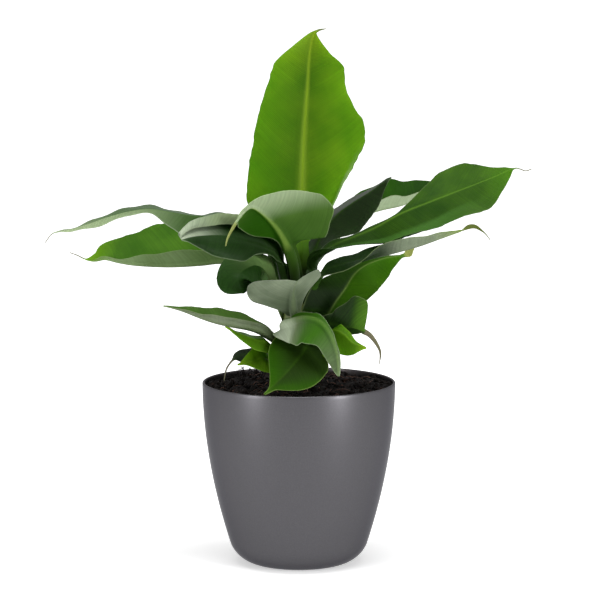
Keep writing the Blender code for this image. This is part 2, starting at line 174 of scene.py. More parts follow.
# pot: the wall's outline, points along it, colours and pattern scales per metre
pot = {
    "height": 189.3, "rim": 100.0, "taper": 35.7, "taperPower": 1.9,
    "base": 44.0, "fillet": 21.0, "wall": 2.5, "floor": 3.0,
    "segments": 256, "insideRings": 60, "outsideRings": 90, "lipRings": 13, "crowding": 1.5,
    "colour": "#565558", "shade": "#48474a", "dust": "#3b3430", "roughness": (0.30, 0.39),
    "pigment": 0.85, "grazing": (0.45, 0.45, 0.47, 1),  # grey, so that the edges don't shine white
    "grain": 900.0,  # pigment grains of 1 mm, coarser than the real ones, which would not show
    "grit": 160.0,  # dust in patches of 6 mm
    "relief": 0.2,
}


def wallRadius(z, inset=0.0):
    # r = rim - taper * (1 - z/height)^power, less a quarter ellipse below the fillet's height
    share = np.clip(z / pot["height"], 0, 1)
    radius = pot["rim"] - pot["taper"] * (1 - share) ** pot["taperPower"]
    foot = pot["rim"] - pot["taper"] - pot["base"]
    drop = 1 - np.sqrt(np.clip(1 - (1 - np.clip(z / pot["fillet"], 0, 1)) ** 2, 0, 1))
    return radius - foot * drop - inset


def turned(name, radius, z, segments, lift=None):
    # profile (r, z) turned about Z: x = r cos a, y = r sin a; lift adds its own height to each point
    angle = np.linspace(0, 2 * math.pi, segments, endpoint=False)
    ring = np.stack([np.cos(angle), np.sin(angle)], -1)
    flat = radius[:, None, None] * ring
    high = np.broadcast_to(z[:, None], flat.shape[:2]).copy()
    if lift is not None:
        high += lift(flat[..., 0], flat[..., 1], high)
    mesh = bodyFromRings(name, np.dstack([flat, high]), capped=False)
    tidyMesh(mesh, merge=0.001 * mm)
    return mesh


def potMaterial():
    # polypropylene with a metallic pigment: dark satin grey with soft upright glints, duller inside
    material, tree, place, value = newMaterial("pigmented polypropylene", "inside")
    grain = addNode(tree, "TexNoise", {"Vector": place, "Scale": pot["grain"], "Detail": 2.0})
    grit = addNode(tree, "TexNoise", {"Vector": place, "Scale": pot["grit"], "Detail": 4.0})
    body = addNode(tree, "Mix", {"Factor": grain, 6: linear(pot["colour"]), 7: linear(pot["shade"])},
                   data_type="RGBA")
    dusty = addNode(tree, "Math", {0: value["inside"], 1: grit}, operation="MULTIPLY")
    colour = addNode(tree, "Mix", {"Factor": dusty, 6: body, 7: linear(pot["dust"])}, data_type="RGBA")
    smooth, dull = pot["roughness"]
    rough = addNode(tree, "MapRange", {"Value": grain, 3: smooth, 4: dull})
    relief = addNode(tree, "Bump", {"Height": grain, "Strength": 0.12, "Distance": pot["relief"] * mm})
    skin = addNode(tree, "BsdfPrincipled", {"Base Color": colour, "Roughness": rough, "Normal": relief,
                                            "Metallic": pot["pigment"],
                                            "Specular Tint": pot["grazing"]})
    addNode(tree, "OutputMaterial", {"Surface": skin})
    return material


def makePot():
    # up the inside, a half circle over the lip, down the outside and in along the base
    lipRadius = pot["wall"] / 2
    top = pot["height"] - lipRadius
    crowding = pot["crowding"]  # rings stand closer together towards the base
    inner = pot["floor"] + (top - pot["floor"]) * np.linspace(0, 1, pot["insideRings"]) ** crowding
    outer = top * (1 - np.linspace(0, 1, pot["outsideRings"])[1:]) ** crowding
    turn = np.linspace(math.pi, 0, pot["lipRings"])[1:]
    lipCentre = wallRadius(top, lipRadius)
    radius = np.concatenate([[0], wallRadius(inner, pot["wall"]), lipCentre + lipRadius * np.cos(turn),
                             wallRadius(outer), [0]])
    z = np.concatenate([[pot["floor"]], inner, top + lipRadius * np.sin(turn), outer, [0]])
    mesh = turned("pot_shell", radius, z, pot["segments"])
    points = np.empty(len(mesh.vertices) * 3, np.float32)
    mesh.vertices.foreach_get("co", points)
    points = points.reshape(-1, 3) / mm
    fromAxis = np.hypot(points[:, 0], points[:, 1])
    storeValues(mesh, inside=ease((wallRadius(points[:, 2]) - fromAxis) / pot["wall"] * 1.5))
    addPiece(mesh, potMaterial(), "pot")


makePot()
print("pot made")

# soil: the heap and its lumps, colours, pattern scales per metre, and what lies on top
soil = {
    "edge": 184.0, "heap": 4.0, "gap": 0.3, "segments": 288, "rings": 110, "wallRings": 24,
    "corner": 4, "baseRing": 40,
    "clods": ((15, 2.2), (6.5, 1.3), (2.8, 0.7)),  # width and height of the lumps
    "tones": ((0.38, "#060404"), (0.58, "#17100d"), (0.74, "#3f2317")),  # black to red
    "grains": 420.0, "grainShade": (1.25, 0.45), "grainRelief": 1.2,  # grains of 2.4 mm
    "clouds": 75.0,  # patches of 13 mm
    "seed": 4, "fibreColours": ("#2a1710", "#5b3826"), "mottle": 60.0,  # dry lengths of 17 mm
    # what lies on top: the lowest and highest value of each random draw, and for the crumbs' size a
    # shape and a scale; reach is the distance from the axis, and sink the depth in the mix
    "crumbs": {"count": 520, "reach": (21, 94), "sink": 0.35, "smallest": 0.5, "size": (3.0, 0.42),
               "stretch": (0.5, 1.3), "dents": (0.75, 1.2)},
    "fibres": {"count": 90, "reach": (24, 88), "sink": 0.4, "heading": (-1.4, 1.4), "length": (6, 22),
               "thickness": (0.18, 0.5), "rise": (0.5, 3.5), "bend": (-0.6, 0.6)},
    "roots": {"count": 7, "x": (-64, -46), "y": (26, 50), "sink": 0.5, "heading": (-0.6, 3.8),
              "length": (7, 15), "thickness": (0.35, 0.65), "rise": (6, 14), "bend": (-0.8, 0.8)},
}


def soilHeight(x, y):
    # heap * (1 - r^2 / wall^2) above the edge, and three sizes of lumps
    r = np.hypot(x, y)
    height = soil["edge"] + soil["heap"] * (1 - (r / wallRadius(soil["edge"], pot["wall"])) ** 2)
    for number, (width, rise) in enumerate(soil["clods"]):
        height = height + rise * lumps(x / width + 31, y / width + 17, number)
    return height


def soilMaterial():
    # peat and bark mix: nearly black, rough grains with reddish fibre among them
    material, tree, place, _ = newMaterial("peat potting mix")
    grains = addNode(tree, "TexVoronoi", {"Vector": place, "Scale": soil["grains"]}).outputs["Distance"]
    clouds = addNode(tree, "TexNoise", {"Vector": place, "Scale": soil["clouds"], "Detail": 6.0,
                                        "Roughness": 0.7})
    tone = addNode(tree, "ValToRGB", {"Fac": clouds})
    steps = tone.color_ramp.elements
    steps.new(0.5)
    for step, (position, colour) in zip(steps, soil["tones"]):
        step.position, step.color = position, linear(colour)
    shallow, deep = soil["grainShade"]
    shade = addNode(tree, "MapRange", {"Value": grains, 1: 0.0, 2: 0.8, 3: shallow, 4: deep})
    colour = addNode(tree, "Mix", {"Factor": 1.0, 6: tone, 7: shade}, data_type="RGBA",
                     blend_type="MULTIPLY")
    relief = addNode(tree, "Bump", {"Height": grains, "Strength": 0.8,
                                    "Distance": soil["grainRelief"] * mm})
    skin = addNode(tree, "BsdfPrincipled", {"Base Color": colour, "Roughness": 0.95, "Normal": relief,
                                            "Specular IOR Level": 0.12})
    addNode(tree, "OutputMaterial", {"Surface": skin})
    return material


def makeSoil(material):
    # the heap out to the wall, down the wall and in along the floor
    inset = pot["wall"] + soil["gap"]
    r = np.linspace(0, 1, soil["rings"]) * wallRadius(soil["edge"], inset)
    down = np.linspace(soil["edge"] - soil["corner"], pot["floor"] + soil["corner"], soil["wallRings"])
    radius = np.concatenate([r, wallRadius(down, inset), [soil["baseRing"], 0]])
    z = np.concatenate([np.zeros(len(r)), down, [pot["floor"] + soil["gap"]] * 2])
    surface = lambda x, y, high: np.where(high == 0, soilHeight(x, y), 0)
    addPiece(turned("soil_mix", radius, z, soil["segments"], surface), material, "soil")


def scatter(rng, count, reach):
    # even over the ring between two radii: r = sqrt(uniform between the squares)
    angle = rng.uniform(0, 2 * math.pi, count)
    r = np.sqrt(rng.uniform(reach[0] ** 2, reach[1] ** 2, count))
    return r * np.cos(angle), r * np.sin(angle)


def makeCrumbs(rng, material):
    # squashed lumps, each a stretched and dented icosahedron turned at random
    shape = bmesh.new()
    bmesh.ops.create_icosphere(shape, subdivisions=1, radius=1.0)
    ball = np.array([v.co for v in shape.verts])
    corners = np.array([[v.index for v in f.verts] for f in shape.faces])
    shape.free()
    crumbs = soil["crumbs"]
    count = crumbs["count"]
    x, y = scatter(rng, count, crumbs["reach"])
    size = rng.gamma(*crumbs["size"], count) + crumbs["smallest"]  # mostly small, a few large
    stretch = rng.uniform(*crumbs["stretch"], (count, 1, 3)) * size[:, None, None]
    dents = rng.uniform(*crumbs["dents"], (count, len(ball), 1))
    turn = np.linalg.qr(rng.normal(size=(count, 3, 3)))[0]
    points = np.einsum("nij,nkj->nki", turn, ball * stretch * dents)
    points += np.stack([x, y, soilHeight(x, y) + size * crumbs["sink"]], -1)[:, None]
    faces = corners + len(ball) * np.arange(count)[:, None, None]
    mesh = meshFrom("soil_crumbs", points, faces.reshape(-1, 3).tolist())
    tidyMesh(mesh)
    addPiece(mesh, material, None)


def strands(name, material, rng, kind, x, y, inward=0.0, sides=5, steps=9):
    # each strand is a bent path with a round section:
    # p(t) = start + length * (heading * t + sideways * bend * t^2) + up * rise * sin(pi t)
    drawn = ("heading", "length", "thickness", "rise", "bend")
    heading, length, thickness, rise, bend = (rng.uniform(*kind[key], kind["count"]) for key in drawn)
    t = np.linspace(0, 1, steps)[None, :, None]
    cosine, sine, level = np.cos(heading + inward), np.sin(heading + inward), 0 * heading
    forward = np.stack([cosine, sine, level], -1)[:, None]
    side = np.stack([-sine, cosine, level], -1)[:, None]
    up = np.array([0, 0, 1.0])
    start = np.stack([x, y, soilHeight(x, y) - kind["sink"]], -1)[:, None]
    path = start + length[:, None, None] * (forward * t + side * bend[:, None, None] * t ** 2)
    path = path + up * rise[:, None, None] * np.sin(math.pi * t)
    along = unit(np.gradient(path, axis=1))
    across = unit(np.cross(along, up + 0.01))
    above = np.cross(across, along)
    a = np.linspace(0, 2 * math.pi, sides, endpoint=False)
    taper = thickness[:, None, None, None] * (1 - 0.6 * t[..., None])
    section = across[:, :, None] * np.cos(a)[:, None] + above[:, :, None] * np.sin(a)[:, None]
    points = path[:, :, None] + section * taper
    index = np.arange(points[..., 0].size).reshape(points.shape[:3])
    near, far = index[:, :-1], index[:, 1:]
    walls = np.stack([near, np.roll(near, -1, 2), np.roll(far, -1, 2), far], -1).reshape(-1, 4)
    ends = np.concatenate([index[:, 0, ::-1], index[:, -1]])
    mesh = meshFrom(name, points, walls.tolist() + ends.tolist())
    tidyMesh(mesh)
    addPiece(mesh, material, None)


def fibreMaterial():
    # coir: dull reddish brown, lighter where it is dry
    material, tree, place, _ = newMaterial("coir fibre")
    mottle = addNode(tree, "TexNoise", {"Vector": place, "Scale": soil["mottle"], "Detail": 2.0})
    dark, dry = (linear(colour) for colour in soil["fibreColours"])
    colour = addNode(tree, "Mix", {"Factor": mottle, 6: dark, 7: dry}, data_type="RGBA")
    skin = addNode(tree, "BsdfPrincipled", {"Base Color": colour, "Roughness": 0.85})
    addNode(tree, "OutputMaterial", {"Surface": skin})
    return material


def makeFibres(rng, material):
    # short fibres that lie on the mix
    x, y = scatter(rng, soil["fibres"]["count"], soil["fibres"]["reach"])
    strands("soil_fibres", material, rng, soil["fibres"], x, y, np.arctan2(-y, -x))


def makeRoots(rng, material):
    # a few dead roots, dark with peat, arch out of the mix behind the leaves on the left
    roots = soil["roots"]
    x, y = (rng.uniform(*roots[axis], roots["count"]) for axis in ("x", "y"))
    strands("dead_roots", material, rng, roots, x, y)


rng = np.random.default_rng(soil["seed"])
peat = soilMaterial()
makeSoil(peat)
makeCrumbs(rng, peat)
makeFibres(rng, fibreMaterial())
makeRoots(rng, peat)
print("soil made")

# stem: outline as radius and height, the laps of its sheaths, colours and pattern scales per metre
stem = {
    "outline": [(19.0, 150.0), (19.0, 196.0), (18.2, 225.0), (17.2, 255.0), (16.2, 275.0),
                (13.6, 286.0), (8.0, 291.4), (0.0, 293.0)],
    "sheaths": 3, "lap": 1.1, "lapWidth": 0.07, "lapLineAt": 0.9, "lapLineWidth": 0.03, "twist": 0.012,
    "unevenness": 0.5, "unevenAround": 2.2, "unevenUp": 30, "roundOff": 12,
    "segments": 144, "rings": 150, "footFrom": 180, "footHeight": 90,
    "green": "#54672a", "pale": "#76844a", "foot": "#6b5a3a", "lapLine": "#6d5a35", "glow": "#7f9a38",
    "ribs": 500.0,  # fine ribs 2 mm apart
    "blotches": 60.0,  # brown patches of 17 mm
    "relief": 0.4, "throughLight": 0.12,
}


def makeStem():
    # radius(z) from the outline, plus a saw-tooth round the stem where each sheath laps the next
    known = np.array(stem["outline"])
    arc = np.r_[0, np.cumsum(np.hypot(*np.diff(known, axis=0).T))]
    steps = np.linspace(0, arc[-1], stem["rings"])
    radius, z = (np.interp(steps, arc, known[:, axis]) for axis in (0, 1))
    angle = np.linspace(0, 2 * math.pi, stem["segments"], endpoint=False)
    turn = (angle / (2 * math.pi) + stem["twist"] * z[:, None] / 10) * stem["sheaths"]
    share = turn - np.floor(turn)
    step = share * (1 - ease((share - 1 + stem["lapWidth"]) / stem["lapWidth"])) - 0.5
    around, upwards = np.meshgrid(angle * stem["unevenAround"], z / stem["unevenUp"])
    uneven = lumps(around, upwards, 9)
    rounded = ease(radius / stem["roundOff"])[:, None]
    body = radius[:, None] + (stem["lap"] * step + stem["unevenness"] * uneven) * rounded
    level = np.broadcast_to(z[:, None], body.shape)
    rings = np.dstack([body * np.cos(angle), body * np.sin(angle), level])
    floor = rings[:1] * [0, 0, 1]
    mesh = bodyFromRings("stem_sheaths", np.concatenate([floor, rings]), capped=False)
    edge = np.exp(-((share - stem["lapLineAt"]) / stem["lapLineWidth"]) ** 2)
    high = np.broadcast_to(ease((z - stem["footFrom"]) / stem["footHeight"])[:, None], edge.shape)
    storeValues(mesh, lap=np.concatenate([edge[:1], edge]), high=np.concatenate([high[:1], high]))
    tidyMesh(mesh, merge=0.001 * mm)
    addPiece(mesh, stemMaterial(), "pseudostem")


def stemMaterial():
    # water-filled leaf sheaths: smooth and waxy, pale green with fine upright ribs, brown at the foot
    material, tree, place, value = newMaterial("waxy leaf sheath", "high", "lap")
    stretched = addNode(tree, "Mapping", {"Vector": place, "Scale": (1, 1, 0.06)})
    ribs = addNode(tree, "TexNoise", {"Vector": stretched, "Scale": stem["ribs"], "Detail": 2.0})
    blotch = addNode(tree, "TexNoise", {"Vector": place, "Scale": stem["blotches"], "Detail": 4.0})
    low = addNode(tree, "MapRange", {"Value": value["high"], 1: 0.0, 2: 0.12, 3: 0.9, 4: 0.0})
    patch = addNode(tree, "Math", {0: low, 1: blotch}, operation="MULTIPLY")
    line = addNode(tree, "Math", {0: value["lap"], 1: 0.45}, operation="MULTIPLY")
    colour = linear(stem["green"])
    for amount, layer in ((ribs, "pale"), (patch, "foot"), (line, "lapLine")):
        colour = addNode(tree, "Mix", {"Factor": amount, 6: colour, 7: linear(stem[layer])},
                         data_type="RGBA")
    relief = addNode(tree, "Bump", {"Height": ribs, "Strength": 0.3, "Distance": stem["relief"] * mm})
    skin = addNode(tree, "BsdfPrincipled", {"Base Color": colour, "Roughness": 0.42, "Normal": relief})
    glow = addNode(tree, "BsdfTranslucent", {"Color": linear(stem["glow"]), "Normal": relief})
    both = addNode(tree, "MixShader", {0: stem["throughLight"], 1: skin, 2: glow})
    addNode(tree, "OutputMaterial", {"Surface": both})
    return material


makeStem()
print("stem made")

# leaves: what each one starts from, and the two kinds of tissue
leafShape = {
    "young": False, "rise": (0, 0), "curl": (0, 0), "hem": (0, 0), "sweep": (0, 0), "bloom": (0, 0),
    "lean": 0, "dripBulge": 0, "dripLean": 1, "hemStart": 0.6, "dripWidth": 0.7, "ribBand": 0.42,
    "rowSpacing": 1.7, "columns": (6, 15, 4),  # points across the rib, the blade and the margin
    "thickness": 0.45, "seatRadius": 13.5, "opening": 0.12, "flatWidth": 7.0,
    "stalk": 4.2, "stalkDepth": 6.0, "stalkRise": 28, "flare": 3.6, "flareReach": 7,
    "ribWidth": 5.0, "tipRibWidth": 1.6, "footRib": 4.4, "tipRib": 1.1,
    "groove": 0.9, "grooveWidth": 2.2, "hemStrip": 2.2, "dripStart": 0.93, "dripEnd": 0.3,
    "dripDepth": 0.7,
    "ragged": 0.012, "raggedLength": 5, "unevenLength": 21,
    "veinSpacing": 6.5, "veinHeight": 0.06, "veinSlant": 0.45, "veinBend": 0.006,
    "fineVeins": 1.9, "veinRelief": 0.3,
    "stripes": 0.45,  # per millimetre: stripes of 2 to 5 mm along the side veins
    "clouds": 28.0,  # per metre: patches of 36 mm
}
# the inner tone is painted shade, a darker green laid where a half lies in shade; the waxy grey tone is
# the real waxy coat, and also a painted sheen where a half catches the light
youngTissue = {
    "upper": "#608b12", "deep": "#4c7c0c", "under": "#84a35c", "underDeep": "#6f9240", "rib": "#94b62a",
    # the fold tone colours a painted highlight on the part of a margin that folds over
    "underRib": "#9dbb58", "edge": "#86a83a", "yellow": "#a3c21b", "glow": "#6fb50e", "waxSheen": "#a5b596",
    "inner": "#3c7206", "stalk": "#6c9a1c", "drip": "#77705a", "fold": "#6fa040",
    "throughLight": 0.34, "gloss": 0.06, "roughness": 0.4, "ribShow": 0.8, "tipShow": 0.4,
    "foldHighlightShow": 0.0, "streaks": 0.08, "clear": 0.2, "stalkReach": 0.03,
    "crownShade": 0.25, "crownFoot": 0.95, "crownTop": 0.4,
}
oldTissue = {
    **youngTissue,
    "upper": "#2f5810", "deep": "#1f4207", "under": "#7e8b6e", "underDeep": "#627352", "rib": "#4a7519",
    "underRib": "#7d9160", "edge": "#7f9162", "yellow": "#5f9a14", "glow": "#4a9009", "waxSheen": "#98a389",
    "inner": "#1c3607", "stalk": "#2c4c12", "throughLight": 0.2, "gloss": 0.08, "roughness": 0.36,
    "ribShow": 0.4, "tipShow": 0.0, "streaks": 0.14, "clear": 0.0, "stalkReach": 0.16,
}
# each leaf: seat is the angle round the stem, the height and sometimes the radius of the stalk's foot;
# spine, the midrib; blade, where the blade starts and ends along it; face, where the upper side looks;
# left and right, the half widths from the blade's foot to its tip. In the pairs, the first value or
# list is the left half's: rise, curl and hem are the degrees by which it stands up, bends and folds
# over from hemStart on, sweep is how far it falls back, and the shade and sheen pair is painted over
# it, from -1, the inner tone, a painted shade, to 1, the waxy grey tone, the real coat with a painted
# sheen, which lean slants. Drip is the thin dry tip. Tone changes the tissue's own values: a leaf's own
# green, and painted light and shade, lighter or darker as the leaf lies in light or shade
leaves = [
    {"node": "leaf_top", "seat": (60, 286, 4), "blade": (0.17, 0.955), "face": (0, -1, 0.1),
     "young": True,
     "spine": [(3, 7, 313), (3, 9, 341), (3, 13, 372), (4, 18, 413), (6, 22, 454), (9, 24, 495),
      (11, 24, 526), (15, 22, 546), (20, 19, 551), (28, 15, 553)],
     "left": [10, 46, 56, 58, 57, 54, 52, 49, 45, 41, 36, 18, 1],
     "right": [8, 22, 34, 42, 50, 58, 64, 61, 49, 40, 37, 19, 1],
     "rise": (12, 12), "curl": (-8, -8), "hem": (0, [150, 150, 110, 20, 0, 0, 0, 0, 0]),
     "hemStart": 0.9, "wave": (0.8, 55), "stalk": 10, "dripWidth": 1.6, "ribBand": 1.05,
     "bloom": ([0.05, -0.1, -0.4, -0.5, -0.45, -0.3, -0.15, 0, 0.05], 0),
     "tone": {"upper": "#648a14", "deep": "#48730c", "inner": "#386608", "rib": "#86a426",
      "edge": "#6a8440", "fold": "#94aa72", "stalk": "#4c7418", "clear": 0.28,
      "crownShade": 0.1, "crownFoot": 0.6, "crownTop": 0.1, "foldHighlightShow": 0.8}},
    {"node": "leaf_front_arch", "seat": (-99, 281), "blade": (0.29, 0.86),
     "face": [(0.2, 0.7, 0.6), (-0.3, 0.5, 0.8), (-0.3, 0.5, 0.8)],
     "spine": [(-5, -24, 311), (-10, -36, 331), (-20, -52, 352), (-33, -70, 369), (-47, -88, 380),
      (-56, -102, 375), (-62, -108, 367), (-67, -110, 359), (-71, -111, 351),
      (-73, -111, 343)],
     "left": [8, 36, 48, 58, 58, 49, 38, 24, 14, 9, 1],
     "right": [8, 7, 10, 18, 25, 28, 28, 24, 14, 6, 1],
     "rise": (10, -10), "sweep": (0.6, 0), "wave": (0.4, 40), "stalk": 8, "dripWidth": 3.2,
     "bloom": ([-0.6, -0.4, -0.25, 0.05, 0.55, 0.9, 1, 1], [-1, -1, -1, -1, -0.9, -0.4, 0]),
     "lean": 0.12,
     "tone": {"under": "#537530", "underDeep": "#446423", "inner": "#234d02", "waxSheen": "#b3c59c",
      "underRib": "#a2c258", "edge": "#b4cc90", "drip": "#9ea45c", "stalk": "#355417",
      "stalkReach": 0.1, "crownShade": 0.1, "crownFoot": 0.75, "crownTop": 0.1,
      "throughLight": 0.3}},
    {"node": "leaf_left_long", "seat": (173, 281), "blade": (0.12, 0.95), "face": (0, -0.1, 1),
     "spine": [(-30, -8, 331), (-48, -14, 349), (-70, -20, 360), (-93, -26, 364), (-113, -31, 366),
      (-133, -35, 370), (-151, -38, 373), (-171, -41, 371), (-194, -43, 365),
      (-214, -44, 358), (-230, -44, 353), (-242, -44, 351), (-251, -44, 348),
      (-258, -44, 339)],
     "left": [5, 25, 39, 40, 34, 21, 7, 6, 9, 6, 1],
     "right": [5, 18, 28, 33, 33, 30, 27, 22, 16, 9, 1],
     "rise": ([-65, -65, -60, -50, -30, -25, -30], [-10, 0, 3, -8, -5, -2, 0, 0, 0]),
     "wave": (0.8, 34), "dripWidth": 1.5,
     "bloom": ([-0.8, -0.6, -0.3, 0.1, 0.4, 0.6, 0.8], [-1, -0.9, -0.8, -0.6, -0.3, 0.1, 0.5]),
     "tone": {"upper": "#466630", "deep": "#395524", "inner": "#2c4c1e", "waxSheen": "#afc196",
      "edge": "#b3c0a2", "ribShow": 0.2}},
    {"node": "leaf_left_boat", "seat": (-140, 281), "blade": (0.2, 1.0), "face": (0, -0.3, 1),
     "spine": [(-20, -26, 322), (-34, -40, 336), (-54, -54, 344), (-76, -68, 349), (-96, -80, 350),
      (-109, -88, 349), (-117, -92, 347)],
     "left": [5, 8, 11, 17, 27, 28, 23, 13, 1], "right": [5, 20, 36, 42, 44, 44, 39, 31, 14],
     "rise": (-30, [45, 38, 30, 24, 22]), "curl": (-50, 0), "hem": (0, [222, 229, 237, 243, 245]),
     "hemStart": 0.32, "wave": (0.6, 48), "stalk": 6,
     "bloom": ([-1, -0.9, -0.6, -0.3, 0, 0, 0, 0], [-1, -0.8, -0.4, 0, 0, 0.2, 0.7, 1]),
     "tone": {"upper": "#1e3812", "deep": "#152a0c", "under": "#8a9a72", "underDeep": "#5f7a46",
      "inner": "#142609", "waxSheen": "#a9b69c", "edge": "#9fb58a", "stalk": "#243d14",
      "ribShow": 0, "stalkReach": 0.3}},
    {"node": "leaf_left_keeled", "seat": (134, 277), "blade": (0.2, 0.93), "face": (0, -0.2, 1),
     "spine": [(-28, 16, 308), (-44, 20, 312), (-63, 24, 313), (-84, 28, 313), (-103, 31, 310),
      (-134, 35, 307), (-166, 38, 307), (-187, 40, 309), (-202, 41, 312), (-213, 42, 310),
      (-223, 42, 312), (-231, 42, 316), (-239, 42, 319)],
     "left": [6, 11, 13, 16, 18, 18, 14, 10, 6, 5, 1],
     "right": [5, 30, 40, 51, 55, 56, 53, 46, 36, 20, 1],
     "rise": (70, 35), "wave": (0.7, 45), "dripWidth": 1.1, "bloom": ([-1, -0.9, -0.5, -0.1, 0], 0),
     "tone": {"upper": "#4c781c", "deep": "#376210", "under": "#93ab79", "underDeep": "#768f5d",
      "inner": "#5a7440", "rib": "#6f9a2a", "yellow": "#7db01c", "tipShow": 0.7,
      "ribShow": 0.3, "gloss": 0.03}},
    {"node": "leaf_left_round", "seat": (-170, 258), "blade": (0.3, 1.0), "face": (-0.1, -0.7, 0.7),
     "spine": [(-31, -27, 303), (-42, -40, 315), (-53, -50, 313), (-60, -52, 307), (-61, -51, 299),
      (-55, -50, 288)],
     "left": [5, 10, 16, 25, 31, 31, 13], "right": [5, 9, 19, 20, 27, 22, 1],
     "rise": (-22, 0), "wave": (0.4, 30), "stalk": 6,
     "bloom": ([0.3, 0.2, 0, 0, 0, 0, 0], [1, 1, 1, 0.8, 0.2, 0, 0]),
     "tone": {"upper": "#27461a", "deep": "#203c13", "under": "#4f6e3c", "underDeep": "#41602f",
      "waxSheen": "#6c8c50", "edge": "#4c6140", "stalk": "#7c9a58", "stalkReach": 0.4,
      "ribShow": 0}},
    {"node": "leaf_front_grey", "seat": (-97, 250), "blade": (0.15, 1.0), "face": (0, 0.4, 1),
     "spine": [(-5, -32, 266), (-6, -47, 279), (-6, -61, 291), (-4, -71, 299), (-2, -77, 304)],
     "left": [6, 7, 9, 12, 17, 26, 35, 33, 8], "right": [6, 8, 14, 27, 40, 45, 47, 42, 10],
     "rise": ([25, 30, 40], [-5, -4, 4]), "wave": (0.5, 30),
     "bloom": ([-1, -1, -1, -0.95, -0.9, -0.6, 0], [-1, -1, -1, -0.95, -0.8, -0.4, 0]), "lean": 0.5,
     "tone": {"upper": "#1c3010", "deep": "#16280c", "under": "#98a48a", "underDeep": "#616e57",
      "inner": "#5f6c54", "edge": "#8f9684", "stalk": "#55633f", "stalkReach": 0.3,
      "ribShow": 0.3}},
    {"node": "leaf_right_dark", "seat": (44, 281), "blade": (0.22, 1.0), "face": (0, -0.1, 1),
     "spine": [(12, 22, 311), (18, 30, 328), (27, 38, 345), (40, 46, 359), (56, 54, 370),
      (75, 63, 381), (91, 70, 392), (97, 72, 395)],
     "left": [5, 20, 30, 34, 34, 30, 24, 14, 1], "right": [5, 8, 16, 25, 29, 26, 19, 9, 1],
     "rise": (-15, -60), "curl": (0, -10), "wave": (0.5, 40),
     "tone": {"upper": "#213314", "deep": "#19280f", "under": "#949c8b", "underDeep": "#757f69",
      "edge": "#5f7050", "ribShow": 0.25}},
    {"node": "leaf_right_back", "seat": (95, 273), "blade": (0.2, 1.0), "face": (0, -0.2, 1),
     "spine": [(14, 38, 307), (31, 58, 326), (52, 80, 343), (70, 96, 354), (86, 110, 358),
      (108, 122, 361), (124, 130, 366), (135, 136, 372), (147, 141, 379), (156, 144, 383)],
     "left": [5, 9, 13, 18, 25, 32, 36, 20, 1], "right": [5, 7, 9, 11, 14, 13, 11, 5, 1],
     "rise": (30, 70), "wave": (0.9, 36),
     "tone": {"upper": "#244a08", "deep": "#1a3a06", "under": "#b3c5a0", "underDeep": "#9fb38b",
      "gloss": 0.03}},
    {"node": "leaf_right_large", "seat": (6, 281), "blade": (0.15, 0.935), "face": (0, -0.15, 1),
     "spine": [(14, -3, 314), (22, -8, 325), (36, -13, 334), (54, -18, 342), (77, -22, 352),
      (103, -27, 367), (134, -32, 380), (164, -36, 392), (194, -39, 404), (217, -40, 414),
      (224, -40, 414), (230, -40, 412), (236, -40, 414)],
     "left": [5, 7, 5, 5, 4, 5, 13, 30, 46, 45, 35, 16, 1],
     "right": [7, 8, 12, 21, 33, 40, 43, 41, 37, 34, 33, 19, 1],
     "rise": (20, -45), "hem": (0, [70, 80, 80, 75, 40, 5, 0]), "hemStart": 0.5, "wave": (0.8, 50),
     "stalk": 7, "dripWidth": 1.2,
     "bloom": ([-0.9, -0.8, -0.6, -0.4, -0.2, 0, 0, 0], [-0.9, -0.8, -0.7, -0.6, -0.5, -0.4, -0.2, 0]),
     "tone": {"upper": "#406612", "deep": "#234706", "rib": "#628c28", "fold": "#44702a",
      "stalk": "#1b330b", "ribShow": 0.6, "stalkReach": 0.42, "tipShow": 0.45,
      "gloss": 0.06, "foldHighlightShow": 0.7}},
    {"node": "leaf_right_narrow", "seat": (-56, 274), "blade": (0.1, 0.85), "face": (0, -0.1, 1),
     "spine": [(21, -30, 306), (38, -38, 315), (59, -45, 322), (77, -50, 327), (97, -56, 332),
      (122, -62, 339), (147, -67, 348), (167, -70, 355), (176, -71, 357), (182, -71, 355),
      (188, -71, 351), (193, -71, 345)],
     "left": [5, 14, 15, 14, 15, 18, 15, 11, 8, 6, 3],
     "right": [5, 10, 12, 13, 15, 17, 15, 11, 8, 6, 3],
     "rise": ([20, 20, 30, 40], [-35, -35, -20, 30, 65, 70, 70]), "wave": (0.5, 30),
     "dripWidth": 1.7, "dripBulge": 4.4, "dripLean": 0.6,
     "bloom": ([-1, -1, -1, -0.8, -0.2, 0, 0], [-1, -1, -1, -0.9, -0.2, 0, 0]),
     "tone": {"under": "#97a28a", "underDeep": "#7b886d", "inner": "#12250b", "yellow": "#86a035",
      "drip": "#5c662a", "tipShow": 0.6, "ribShow": 0.05}},
    {"node": "leaf_right_lower", "seat": (-20, 246), "blade": (0.13, 0.91),
     "face": (-0.3, -0.9, 0.3),
     "spine": [(22, -18, 255), (30, -20, 263), (38, -18, 275), (47, -14, 287), (57, -9, 302),
      (69, -4, 311), (86, 1, 317), (100, 5, 319), (109, 7, 320), (114, 7, 323),
      (119, 6, 327)],
     "left": [12, 25, 29, 30, 26, 12, 6, 5, 4, 2, 1],
     "right": [5, 8, 15, 23, 30, 32, 30, 27, 21, 11, 1],
     "rise": ([48, 40, 24, 8, 5], 5), "sweep": (1.1, 0), "wave": (0.5, 32), "dripWidth": 2.2,
     "dripBulge": 3.4, "ribBand": 0.28, "bloom": ([-1, -1, -0.9, -0.7, -0.5, 0], [-0.6, -0.2, 0]),
     "tone": {"upper": "#447410", "deep": "#37640c", "inner": "#15250c", "rib": "#7f9e4c",
      "drip": "#a9b060", "ribShow": 0.5, "gloss": 0.03}},
    {"node": "leaf_right_hanging", "seat": (-4, 222), "blade": (0.26, 0.7), "face": (0, -1, 0.2),
